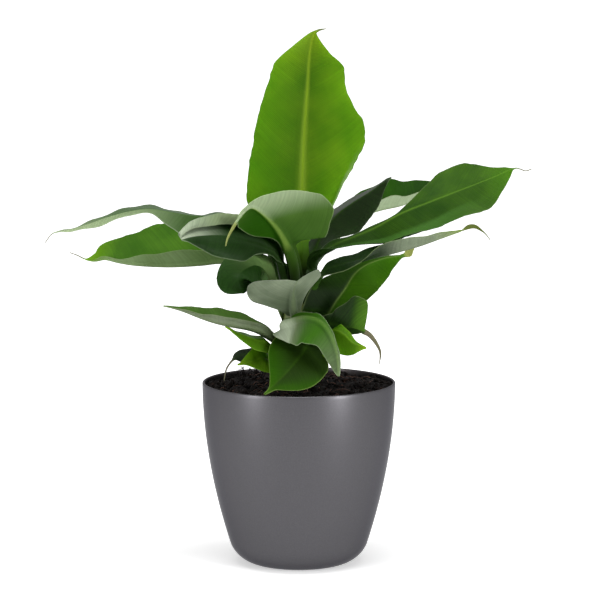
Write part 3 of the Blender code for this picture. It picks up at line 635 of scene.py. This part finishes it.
     "spine": [(24, -32, 252), (35, -41, 255), (46, -48, 254), (58, -52, 252), (70, -54, 247),
      (76, -54, 241), (81, -54, 233), (83, -54, 226), (82, -54, 215)],
     "left": [5, 6, 8, 12, 20, 28, 33, 30, 1], "right": [5, 5, 6, 6, 8, 8, 8, 6, 1],
     "rise": (0, -20), "wave": (0.4, 30), "dripWidth": 3.0,
     "bloom": ([-0.6, -0.6, -0.5, -0.4, -0.2, 0, 0.8, 1], 0),
     "tone": {"upper": "#223a12", "deep": "#1a2e0e", "inner": "#17280c", "waxSheen": "#48701d",
      "streaks": 0.35, "ribShow": 0.2}},
    {"node": "leaf_left_narrow", "seat": (-160, 222), "blade": (0.16, 1.0), "face": (0, -0.2, 1),
     "spine": [(-19, -24, 232), (-26, -30, 240), (-38, -38, 248), (-50, -46, 253), (-68, -56, 257),
      (-86, -66, 262), (-102, -74, 268), (-116, -80, 274), (-128, -84, 278),
      (-136, -86, 280)],
     "left": [5, 6, 7, 7, 8, 7, 5, 3, 1], "right": [5, 9, 13, 17, 18, 15, 10, 5, 1],
     "rise": (70, 40), "wave": (0.4, 30),
     "tone": {"upper": "#527432", "deep": "#456628", "under": "#87917a", "underDeep": "#6d7a5c",
      "stalk": "#44552c", "stalkReach": 0.4}},
    {"node": "leaf_left_bright", "seat": (-126, 206), "blade": (0.25, 1.0), "face": (0, -0.3, 1),
     "young": True,
     "spine": [(-28, -38, 234), (-43, -46, 240), (-56, -55, 246), (-66, -62, 251), (-74, -66, 256)],
     "left": [5, 9, 13, 12, 10, 5, 1], "right": [5, 7, 12, 12, 9, 5, 1],
     "rise": (-45, 0), "wave": (0.4, 24),
     "tone": {"upper": "#537812", "deep": "#42660d", "rib": "#6f9c26", "ribShow": 0.5}},
    {"node": "leaf_left_short", "seat": (-165, 196), "blade": (0.25, 1.0), "face": (0, -0.3, 1),
     "young": True,
     "spine": [(-32, -36, 219), (-44, -46, 219), (-53, -53, 217), (-62, -58, 216)],
     "left": [5, 12, 19, 22, 15, 5, 1], "right": [8, 20, 21, 16, 11, 6, 1],
     "rise": (-30, 40), "wave": (0.4, 22),
     "tone": {"upper": "#5a7e11", "deep": "#496c0b", "rib": "#6a9722", "ribShow": 0.5}},
    {"node": "leaf_left_small", "seat": (172, 212), "blade": (0.25, 0.72), "face": (0, -0.3, 1),
     "spine": [(-30, -2, 220), (-42, -8, 221), (-53, -14, 221), (-64, -18, 218), (-69, -20, 214),
      (-74, -21, 207), (-76, -22, 200), (-77, -22, 193)],
     "left": [5, 7, 9, 9, 9, 7, 1], "right": [5, 6, 7, 7, 7, 6, 1],
     "rise": (-50, 20), "wave": (0.3, 20), "dripWidth": 1.4,
     "tone": {"upper": "#3b4636", "deep": "#2e382a", "ribShow": 0.2}},
    {"node": "leaf_front_low", "seat": (-50, 228), "blade": (0.2, 1.0), "face": (0, -0.7, 0.7),
     "spine": [(10, -42, 235), (3, -57, 227), (-7, -70, 216), (-17, -79, 206), (-26, -85, 198),
      (-31, -87, 193), (-35, -88, 190)],
     "left": [6, 9, 20, 30, 34, 34, 32, 26, 15, 4, 1],
     "right": [30, 35, 34, 34, 33, 30, 25, 18, 10, 3, 1],
     "wave": (0.4, 30),
     "bloom": ([-1, -1, -1, -1, -1, -0.8, -0.3], [-1, -1, -1, -0.9, -0.6, -0.2, 0]), "lean": 0.42,
     "tone": {"upper": "#2e5805", "deep": "#264c04", "inner": "#22370e", "rib": "#446d1a",
      "edge": "#8aa555", "ribShow": 0.3, "gloss": 0.02}},
    {"node": "leaf_front_curl", "seat": (-122, 234), "blade": (0.12, 1.0), "face": (0, 0.3, -1),
     "spine": [(-15, -38, 252), (-4, -50, 259), (9, -62, 263), (21, -72, 261), (30, -79, 252),
      (36, -86, 239), (39, -90, 225), (40, -92, 209)],
     "left": [6, 14, 22, 28, 30, 29, 24, 18, 14, 10, 1],
     "right": [5, 8, 12, 15, 14, 10, 7, 5, 4, 3, 1],
     "rise": (40, [-15, -15, 0, 40, 40]), "wave": (0.9, 26),
     "bloom": ([1, 1, 0.8, -0.2, -0.9, -1, -0.8, -0.5, -0.25, -0.1],
      [-0.8, -1, -1, -1, -0.9, -0.5, -0.2, 0]),
     "tone": {"under": "#71835a", "inner": "#345f10", "waxSheen": "#b7c4a9", "underRib": "#7f9a4e",
      "edge": "#a9ba92", "ribShow": 0.2}},
    {"node": "leaf_right_small", "seat": (-24, 208), "blade": (0.42, 1.0), "face": (0.1, -0.5, 0.8),
     "young": True,
     "spine": [(25, -36, 242), (35, -58, 252), (45, -68, 249), (54, -73, 241), (62, -76, 238),
      (68, -78, 236)],
     "left": [5, 9, 10, 8, 6, 4, 1], "right": [5, 22, 30, 30, 22, 12, 1],
     "rise": (10, -55), "wave": (0.4, 24),
     "tone": {"upper": "#578312", "deep": "#46710d", "rib": "#7aa926", "ribShow": 0.5}},
]


def smoothPath(points, spacing):
    # Catmull-Rom curve through the points, read at equal steps of its length
    known = np.asarray(points, float)
    ends = np.vstack([2 * known[0] - known[1], known, 2 * known[-1] - known[-2]])
    t = np.linspace(0, 1, 24, endpoint=False)[:, None]
    pieces = [0.5 * (2 * b + (c - a) * t + (2 * a - 5 * b + 4 * c - d) * t ** 2
                     + (3 * b - 3 * c + d - a) * t ** 3)
              for a, b, c, d in zip(ends, ends[1:], ends[2:], ends[3:])]
    fine = np.vstack(pieces + [known[-1:]])
    arc = np.r_[0, np.cumsum(np.linalg.norm(np.diff(fine, axis=0), axis=1))]
    steps = np.linspace(0, arc[-1], max(30, round(arc[-1] / spacing)))
    return np.stack([np.interp(steps, arc, fine[:, axis]) for axis in range(3)], -1), arc[-1]


def spread(values, at):
    # values at equal steps from 0 to 1, joined by cubics whose slopes are harmonic means
    if np.isscalar(values):
        return np.full_like(at, float(values))
    known = np.asarray(values, float)
    step = 1 / (len(known) - 1)
    slope = np.diff(known) / step
    before, after = slope[:-1], slope[1:]
    sameWay = before * after > 0
    total = np.where(sameWay, before + after, 1.0)
    tangent = np.r_[slope[0], np.where(sameWay, 2 * before * after / total, 0.0), slope[-1]]
    index = np.clip((at / step).astype(int), 0, len(known) - 2)
    t = at / step - index
    rise = known[index + 1] - known[index]
    start, end = tangent[index] * step, tangent[index + 1] * step
    return (known[index] + start * t + (3 * rise - 2 * start - end) * t ** 2
            + (start + end - 2 * rise) * t ** 3)


def halfWidth(leaf, number, place, along):
    # stalk, flared at its foot; blade, from the leaf's list, with a ragged margin; and drip tip, which
    # thins evenly but can bulge by dripBulge * sin^2(pi * past^dripLean), where past is 0 to 1 along it
    halves = leaf[("left", "right")[number]]
    grown = np.clip(place / place[0], 0, 1)
    flare = leaf["flare"] * np.exp(-along / leaf["flareReach"])
    flare = halves[0] + (leaf["stalk"] - halves[0]) * grown + flare
    width = np.where(place < 0, flare, spread(halves, np.clip(place, 0, 1)))
    past = np.clip((place - 1) / (place[-1] - 0.999), 0, 1)  # 0.999, because a blade can end at the tip
    left = np.clip((place[-1] - place) / (place[-1] - 0.999), 0, 1)
    drip = leaf["dripEnd"] + (leaf["dripWidth"] - leaf["dripEnd"]) * left
    width = np.maximum(width, drip * ease((place - leaf["dripStart"]) / (1 - leaf["dripStart"])))
    bulge = leaf["dripBulge"] * np.sin(math.pi * past ** leaf["dripLean"]) ** 2
    width = np.where(place > 1, drip + bulge, width)
    ragged = leaf["ragged"] * lumps(along / leaf["raggedLength"], 0 * along + number, 3)
    return width * (1 + np.where((place > 0) & (place < 1), ragged, 0))


def leafHalf(leaf, number, place, length, centre, forward, sideways, upward):
    # half of the upper surface, from the midrib to the margin. At distance v w from the midrib it
    # slopes by a(v) = rise + curl v^1.5 + hem ease((v - hemStart) / (1 - hemStart)), so that its point
    # is centre + side * S * w * (sum of cos a dv) + N * w * (sum of sin a dv), and near the base it
    # falls back along the midrib by sweep * (1 - u)^2 of its distance out
    side = (-1, 1)[number]
    pair = lambda key: leaf[key][number]
    blade = np.clip(place, 0, 1)
    along = np.linspace(0, length, len(place))
    width = halfWidth(leaf, number, place, along)
    opened = ease(place / leaf["opening"])
    rise = leaf["stalkRise"] + (spread(pair("rise"), blade) - leaf["stalkRise"]) * opened
    rise = rise * np.clip(width / leaf["flatWidth"], 0, 1)

    ribEdge = np.clip(leaf["ribWidth"] / width, 0, 0.5)[:, None]
    hemEdge = 1 - np.minimum(leaf["hemStrip"] / width, 0.3)[:, None]
    steps = [np.linspace(0, 1, count) for count in leaf["columns"]]
    v = np.hstack([ribEdge * steps[0], ribEdge + (hemEdge - ribEdge) * steps[1][1:],
                   hemEdge + (1 - hemEdge) * steps[2][1:]])
    fold = ease((v - leaf["hemStart"]) / (1 - leaf["hemStart"]))
    slope = np.radians(rise[:, None] + spread(pair("curl"), blade)[:, None] * v ** 1.5
                       + spread(pair("hem"), blade)[:, None] * fold)
    middle = (slope[:, 1:] + slope[:, :-1]) / 2
    zero = np.zeros((len(v), 1))
    out = np.hstack([zero, np.cumsum(np.cos(middle) * np.diff(v), 1)]) * width[:, None]
    up = np.hstack([zero, np.cumsum(np.sin(middle) * np.diff(v), 1)]) * width[:, None]

    # side veins, slow waves that grow towards the margin, and the groove along the midrib
    distance = v * width[:, None]
    foot = along[:, None] - leaf["veinSlant"] * distance - leaf["veinBend"] * distance ** 2
    onBlade = (ease(place / 0.1) * ease((1 - place) / 0.06))[:, None]
    ripple = leaf["veinHeight"] * np.sin(2 * math.pi * foot / leaf["veinSpacing"])
    ripple = ripple * ease((distance - 3) / 10)
    swing, wave = leaf["wave"]
    phase = 1.7 * number + leaf["seat"][0]
    uneven = lumps(foot / leaf["unevenLength"], v + phase, 5)
    wavy = swing * v ** 2 * (np.sin(2 * math.pi * along[:, None] / wave + phase) + uneven)
    groove = -leaf["groove"] * (1 - blade[:, None]) * np.exp(-(distance / leaf["grooveWidth"]) ** 2)
    up = up + (ripple + wavy + groove) * onBlade
    points = centre[:, None] + side * out[..., None] * sideways[:, None]
    points = points + up[..., None] * upward[:, None]
    back = pair("sweep") * (1 - blade[:, None]) ** 2 * opened[:, None] * out
    return points - back[..., None] * forward[:, None], distance, v, foot


def growLeaf(leaf):
    # both halves side by side along the spine, the under side below them at the thickness of the blade
    # and the depth of the rib, and what the material needs to know at each point
    angle, height, radius = (*leaf["seat"], leaf["seatRadius"])[:3]
    angle = math.radians(angle)
    start = (radius * math.cos(angle), radius * math.sin(angle), height)
    centre, length = smoothPath([start] + leaf["spine"], leaf["rowSpacing"])
    along = np.linspace(0, 1, len(centre))
    first, last = leaf["blade"]
    place = (along - first) / (last - first)
    forward = unit(np.gradient(centre, axis=0))
    face = np.atleast_2d(np.asarray(leaf["face"], float))
    marks = np.linspace(0, 1, len(face))
    face = np.stack([np.interp(along, marks, face[:, axis]) for axis in range(3)], -1)
    sideways = unit(np.cross(forward, face))
    upward = np.cross(sideways, forward)

    halves = [leafHalf(leaf, number, place, length, centre, forward, sideways, upward)
              for number in (0, 1)]
    joined = lambda pair: np.hstack([pair[0][:, ::-1], pair[1][:, 1:]])
    upper, distance, v, foot = (joined(pair) for pair in zip(*halves))
    normal = unit(np.cross(np.gradient(upper, axis=1), np.gradient(upper, axis=0)))
    row = place[:, None]
    blade = np.clip(row, 0, 1)
    ribDepth = leaf["tipRib"] + leaf["footRib"] * (1 - blade) ** 1.3
    ribDepth = np.where(row < 0, leaf["stalkDepth"], np.where(row > 1, leaf["dripDepth"], ribDepth))
    wider = leaf["ribWidth"] - leaf["tipRibWidth"]
    ribWidth = np.where(row < 0, leaf["ribWidth"], leaf["tipRibWidth"] + wider * (1 - blade))
    bulge = np.sqrt(np.clip(1 - (distance / ribWidth) ** 2, 0, 1))
    depth = leaf["thickness"] + np.maximum(ribDepth - leaf["thickness"], 0) * bulge
    under = upper - normal * depth[..., None]
    mesh = bodyFromRings(leaf["node"] + "_blade", np.concatenate([upper, under[:, ::-1]], 1))

    # painted shade and sheen along each half, slanted by lean
    bloom = [spread(values, np.clip(blade + leaf["lean"] * half[2], 0, 1))
             for values, half in zip(leaf["bloom"], halves)]
    # where the painted highlight goes: the part of a margin that folds over
    folded = [ease((half[2] - leaf["hemStart"]) / 0.06) * np.clip(spread(degrees, blade) / 60, 0, 1)
              for degrees, half in zip(leaf["hem"], halves)]
    ribBand = leaf["ribBand"] * (0.6 + 4.6 * (1 - blade))
    ribLine = np.exp(-(distance / ribBand) ** 2) * np.where(row < 0, 0.5, 1)
    flat = np.ones_like(distance)
    both = lambda values: np.concatenate([values, values[:, ::-1]], 1)
    storeValues(mesh, underside=np.concatenate([0 * flat, flat], 1),
                rib=both(np.maximum(ribLine, ease(-row / 0.1) * flat)),
                margin=both(ease(1 - (1 - v) * np.maximum(distance, 1))),
                vein=both(foot), across=both(v), blade=both(np.clip(row, -1, 2) * flat),
                bloom=both(joined(bloom)), folded=both(joined(folded)))
    tidyMesh(mesh)
    # each leaf's tone sets its own green, and also paints light and shade: darker colours for a leaf
    # that lies in shade, lighter ones for a lit one
    tissue = {**(youngTissue if leaf["young"] else oldTissue), **leaf["tone"]}
    material = leafMaterial("banana leaf " + leaf["node"][5:].replace("_", " "), tissue, place[0])
    addPiece(mesh, material, leaf["node"])


def leafMaterial(name, tissue, seatPlace):
    # banana leaf: glossy waxy green above, dull waxy grey below, light ribs, and light shines through;
    # stalks darken towards the crown in painted shade, the halves carry painted shade and a painted
    # sheen, and the part of a margin that folds over can be lighter, a painted highlight
    material, tree, place, value = newMaterial(name, "underside", "rib", "margin", "vein", "across",
                                               "blade", "bloom", "folded")
    tone = {key: linear(colour) for key, colour in tissue.items() if isinstance(colour, str)}
    blade = value["blade"]
    cloud = addNode(tree, "TexNoise", {"Vector": place, "Scale": leafShape["clouds"], "Detail": 3.0})
    alongVeins = addNode(tree, "CombineXYZ", {"X": value["vein"], "Y": value["across"]})
    streak = addNode(tree, "TexNoise", {"Vector": alongVeins, "Scale": leafShape["stripes"],
                                        "Detail": 4.0, "Roughness": 0.65})

    ramps = {  # a value, the range that is read, and what that range becomes
        "deep": (cloud, 0.3, 0.7, 0.0, 1.0),
        # painted shade below 0, towards the inner tone; the waxy coat with painted sheen above 0
        "paintedShade": (value["bloom"], -1.0, 0.0, 1.0, 0.0),
        "waxAndSheen": (value["bloom"], 0.0, 1.0, 0.0, 1.0),
        "thinner": (value["across"], 0.0, 1.0, 1 - tissue["clear"], 1 + tissue["clear"]),
        "striped": (streak, 0.3, 0.7, 1 - tissue["streaks"], 1 + tissue["streaks"]),
        # painted shade: the stalk darkens towards its foot in the crown
        "crown": (blade, seatPlace * tissue["crownFoot"], seatPlace * tissue["crownTop"],
                  tissue["crownShade"], 1.0),
        "stalk": (blade, 0.0, tissue["stalkReach"], 1.0, 0.0),
        "tip": (blade, 0.84, 1.0, 0.0, tissue["tipShow"]),
        "drip": (blade, 1.0, 1.03, 0.0, 0.9),
        "rough": (value["underside"], 0.0, 1.0, tissue["roughness"], tissue["roughness"] + 0.16),
        "thin": (blade, -0.1, 0.08, 0.0, tissue["throughLight"]),  # a stalk is too thick for light
    }
    ramp = {key: addNode(tree, "MapRange", dict(enumerate(row))) for key, row in ramps.items()}
    products = {
        "contrast": (ramp["thinner"], ramp["striped"]), "rib": (value["rib"], tissue["ribShow"]),
        "margin": (value["margin"], 0.6), "folded": (value["folded"], tissue["foldHighlightShow"]),
        "waves": (value["vein"], 2 * math.pi / leafShape["fineVeins"]),
    }
    times = {key: addNode(tree, "Math", dict(enumerate(row)), operation="MULTIPLY")
             for key, row in products.items()}
    mixes = {
        "upper": (ramp["deep"], tone["upper"], tone["deep"], "MIX"),
        "under": (ramp["deep"], tone["under"], tone["underDeep"], "MIX"),
        "rib": (value["underside"], tone["rib"], tone["underRib"], "MIX"),
        "stalk": (1.0, tone["stalk"], ramp["crown"], "MULTIPLY"),
        "glow": (1.0, tone["glow"], times["contrast"], "MULTIPLY"),
    }
    mix = {key: addNode(tree, "Mix", {"Factor": factor, 6: first, 7: second}, data_type="RGBA",
                        blend_type=how) for key, (factor, first, second, how) in mixes.items()}
    colour = mix["upper"]
    layers = (  # laid over the upper green one after another
        # then painted shade in the inner tone, and the waxy coat with painted sheen
        (value["underside"], mix["under"], "MIX"), (ramp["paintedShade"], tone["inner"], "MIX"),
        (ramp["waxAndSheen"], tone["waxSheen"], "MIX"), (1.0, times["contrast"], "MULTIPLY"),
        (times["rib"], mix["rib"], "MIX"), (times["margin"], tone["edge"], "MIX"),
        # painted highlight where a margin folds over
        (times["folded"], tone["fold"], "MIX"), (ramp["stalk"], mix["stalk"], "MIX"),
        (ramp["tip"], tone["yellow"], "MIX"), (ramp["drip"], tone["drip"], "MIX"),
    )
    for amount, layer, how in layers:
        colour = addNode(tree, "Mix", {"Factor": amount, 6: colour, 7: layer}, data_type="RGBA",
                         blend_type=how)

    lines = addNode(tree, "Math", {0: times["waves"]}, operation="SINE")  # fine veins side by side
    relief = addNode(tree, "Math", {0: lines, 1: 0.25, 2: streak}, operation="MULTIPLY_ADD")
    bump = addNode(tree, "Bump", {"Height": relief, "Strength": 0.35,
                                  "Distance": leafShape["veinRelief"] * mm})
    rough = addNode(tree, "Math", {0: streak, 1: 0.12, 2: ramp["rough"]}, operation="MULTIPLY_ADD")
    skin = addNode(tree, "BsdfPrincipled", {"Base Color": colour, "Roughness": rough, "Normal": bump,
                                            "Specular IOR Level": tissue["gloss"]})
    glow = addNode(tree, "BsdfTranslucent", {"Color": mix["glow"], "Normal": bump})
    both = addNode(tree, "MixShader", {0: ramp["thin"], 1: skin, 2: glow})
    addNode(tree, "OutputMaterial", {"Surface": both})
    return material


for leaf in leaves:
    growLeaf({**leafShape, **leaf})
print(len(leaves), "leaves grown")

# floor and light: places, sizes and distances in metres, power in watts
studio = {
    "floor": "#f4f4f4", "bounce": "#dcdcdc", "floorSize": 40,
    "lift": (0.42, 1.0), "liftReach": (0.3, 1.2), "mirrorLift": 0.74,  # the paper's own light
    "worldLight": 0.36, "aim": (0, 0, 0.25),
    "lamps": [
        {"name": "overhead softbox", "place": (0.0, -0.4, 2.4), "size": (1.8, 1.4), "power": 44},
        {"name": "left softbox", "place": (-1.6, -1.2, 0.45), "size": (0.45, 0.9), "power": 19},
        {"name": "right softbox", "place": (1.5, -1.33, 0.45), "size": (0.45, 0.9), "power": 26},
    ],
}


def makeFloor():
    mesh = bpy.data.meshes.new("floor")
    shape = bmesh.new()
    bmesh.ops.create_grid(shape, x_segments=1, y_segments=1, size=studio["floorSize"])
    shape.to_mesh(mesh)
    shape.free()
    # matt paper that throws back a duller grey than the camera sees. To the camera its own light makes
    # it white away from the pot, and leaves the shadow near it; reflections see an even, weaker light
    material, tree, place, _ = newMaterial("white paper sweep")
    path = addNode(tree, "LightPath").outputs
    away = addNode(tree, "VectorMath", {0: place}, operation="LENGTH").outputs["Value"]
    (near, far), (low, high) = studio["liftReach"], studio["lift"]
    level = addNode(tree, "MapRange", {"Value": away, 1: near, 2: far, 3: low, 4: high})
    direct = addNode(tree, "Math", {0: path["Is Camera Ray"], 1: level}, operation="MULTIPLY")
    mirrored = addNode(tree, "Math", {0: path["Is Glossy Ray"], 1: studio["mirrorLift"]},
                       operation="MULTIPLY")
    lift = addNode(tree, "Math", {0: direct, 1: mirrored}, operation="MAXIMUM")
    shown = addNode(tree, "Mix", {"Factor": path["Is Camera Ray"], 6: linear(studio["bounce"]),
                                  7: linear(studio["floor"])}, data_type="RGBA")
    paper = addNode(tree, "BsdfDiffuse", {"Color": shown})
    shine = addNode(tree, "Emission", {"Strength": lift})
    both = addNode(tree, "AddShader", {0: paper, 1: shine})
    addNode(tree, "OutputMaterial", {"Surface": both})
    floor = bpy.data.objects.new("floor", mesh)
    mesh.materials.append(material)
    bpy.context.scene.collection.objects.link(floor)
    floor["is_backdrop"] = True


def lightStudio():
    # a room that is white to the camera, in reflections and through glass, and dimmer as a light
    world = bpy.data.worlds.new("white room")
    bpy.context.scene.world = world
    world.use_nodes = True
    tree = world.node_tree
    tree.nodes.clear()
    path = addNode(tree, "LightPath").outputs
    seen = path["Is Camera Ray"]
    for ray in ("Is Transmission Ray", "Is Glossy Ray"):
        seen = addNode(tree, "Math", {0: seen, 1: path[ray]}, operation="MAXIMUM")
    level = addNode(tree, "MapRange", {"Value": seen, 3: studio["worldLight"], 4: 1.0})
    sky = addNode(tree, "Background", {"Color": (1, 1, 1, 1), "Strength": level})
    addNode(tree, "OutputWorld", {"Surface": sky})
    for lamp in studio["lamps"]:
        light = bpy.data.lights.new(lamp["name"], "AREA")
        light.shape = "RECTANGLE"
        light.size, light.size_y = lamp["size"]
        light.energy = lamp["power"]
        holder = bpy.data.objects.new(lamp["name"], light)
        holder.location = lamp["place"]
        direction = Vector(studio["aim"]) - holder.location
        holder.rotation_euler = direction.to_track_quat("-Z", "Y").to_euler()
        bpy.context.scene.collection.objects.link(holder)


makeFloor()
lightStudio()
bpy.context.scene.view_settings.view_transform = "Standard"
print("studio lit")

sizes = {"atLoad": boundsAtLoad, "atEnd": [list(corner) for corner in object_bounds()]}
